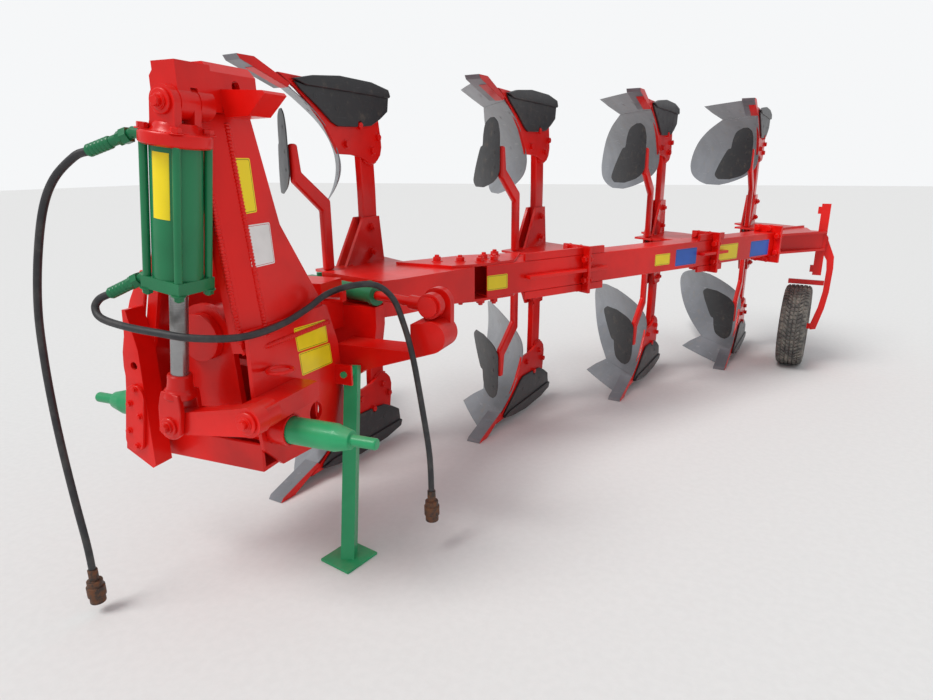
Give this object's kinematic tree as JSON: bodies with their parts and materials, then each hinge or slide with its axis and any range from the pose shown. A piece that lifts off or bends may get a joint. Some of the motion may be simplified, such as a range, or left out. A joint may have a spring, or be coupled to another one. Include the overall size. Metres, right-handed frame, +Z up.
{
  "type": "reversible mounted moldboard plough",
  "caption": "Reversible mounted plough: mirrored pairs of moldboard bodies on a slanted beam, a headstock with turnover ram and a depth wheel.",
  "frame": {"origin": "on the ground under the middle of the plough's bounding box", "axes": "+Y rearward along the travel, away from the tractor; +X to the unploughed land, the plough's left; +Z up"},
  "size_m": [2.8027, 4.6888, 1.787],
  "materials": {
    "red_paint": "glossy fresh red paint, dusty in the corners",
    "green_paint": "glossy green paint",
    "light_green_paint": "glossy light green paint",
    "rod_steel": "ground rod, slightly greasy",
    "grey_body": "satin grey paint with scoured patches",
    "black_body": "worn satin black paint",
    "hose_rubber": "matt black hose, dusty",
    "coupling_steel": "rusty brown couplings",
    "tyre": "worn dusty tyre"
  },
  "bodies": {
    "headstock": {"cheek_right": "red_paint", "cheek_left": "red_paint", "tower_head": "red_paint", "bearing_housing": "red_paint", "cross_box": "red_paint", "valve_box": "red_paint", "valve_cover": "red_paint", "cross_shaft": "light_green_paint", "lever_mount": "red_paint", "hose_holder": "red_paint"},
    "ram_barrel": {"ram_barrel": "green_paint", "ram_tie_rods": "green_paint", "ram_head": "red_paint", "ram_gland": "green_paint", "hose_fitting_upper": "green_paint", "hose_fitting_lower": "green_paint", "hose_upper": "hose_rubber", "hose_lower": "hose_rubber", "coupling_upper": "coupling_steel", "coupling_lower": "coupling_steel"},
    "ram_rod": {"ram_rod": "rod_steel", "ram_clevis": "red_paint"},
    "turnover_lever": {"turnover_lever": "red_paint"},
    "stand": {"stand": "light_green_paint"},
    "wheel_arm": {"wheel_arm": "red_paint", "wheel_scraper": "red_paint"},
    "wheel": {"tyre": "tyre", "wheel_rim": "grey_body"},
    "frame": {"turnover_shaft": "red_paint", "pivot_head": "red_paint", "offset_arm": "red_paint", "width_ram": "green_paint", "width_rod": "red_paint", "beam_front": "red_paint", "beam_main": "red_paint", "beam_flanges": "red_paint", "beam_stiffeners": "red_paint", "beam_tail": "red_paint", "body_brackets": "red_paint", "legs_lower": "red_paint", "legs_upper": "red_paint", "frogs_lower": "red_paint", "frogs_upper": "red_paint", "landsides_lower": "black_body", "landsides_upper": "black_body", "mouldboards_lower": "grey_body", "mouldboards_upper": "grey_body", "shares_lower": "grey_body", "shares_upper": "grey_body", "skimmer_arms_lower": "red_paint", "skimmer_arms_upper": "red_paint", "skimmers_lower": "grey_body", "skimmers_upper": "grey_body"}
  },
  "joints": [
    {"name": "turnover", "type": "hinge", "parent": "headstock", "child": "frame", "pos_m": [-0.8, -2.036, 0.8935], "axis": [0, -1, 0], "range_deg": [0, 180]},
    {"name": "lever_swing", "type": "hinge", "parent": "headstock", "child": "turnover_lever", "pos_m": [-0.537, -2.201, 0.696], "axis": [0, 1, 0], "range_deg": [0, 49]},
    {"name": "ram_swing", "type": "hinge", "parent": "headstock", "child": "ram_barrel", "pos_m": [-0.675, -2.201, 1.563], "axis": [0, -1, 0], "range_deg": [0, 0.8]},
    {"name": "ram_stroke", "type": "slide", "parent": "ram_barrel", "child": "ram_rod", "axis": [0.1519, 0, 0.9884], "range_m": [0, 0.2315]},
    {"name": "stand_fold", "type": "hinge", "parent": "headstock", "child": "stand", "pos_m": [-0.554, -1.628, 0.672], "axis": [0, -1, 0], "range_deg": [0, 85]},
    {"name": "wheel_arm_swing", "type": "hinge", "parent": "frame", "child": "wheel_arm", "pos_m": [1.308, 1.404, 0.8935], "axis": [-0.1478, -0.989, 0], "range_deg": [0, 176]},
    {"name": "wheel_spin", "type": "hinge", "parent": "wheel_arm", "child": "wheel", "pos_m": [1.21256, 1.40815, 0.285], "axis": [0.989, -0.1478, 0], "continuous": true}
  ],
  "couplings": [
    {"joint": "ram_stroke", "follows": "lever_swing", "m_per_rad": 0.27046},
    {"joint": "ram_swing", "follows": "lever_swing", "ratio": 0.01592}
  ]
}
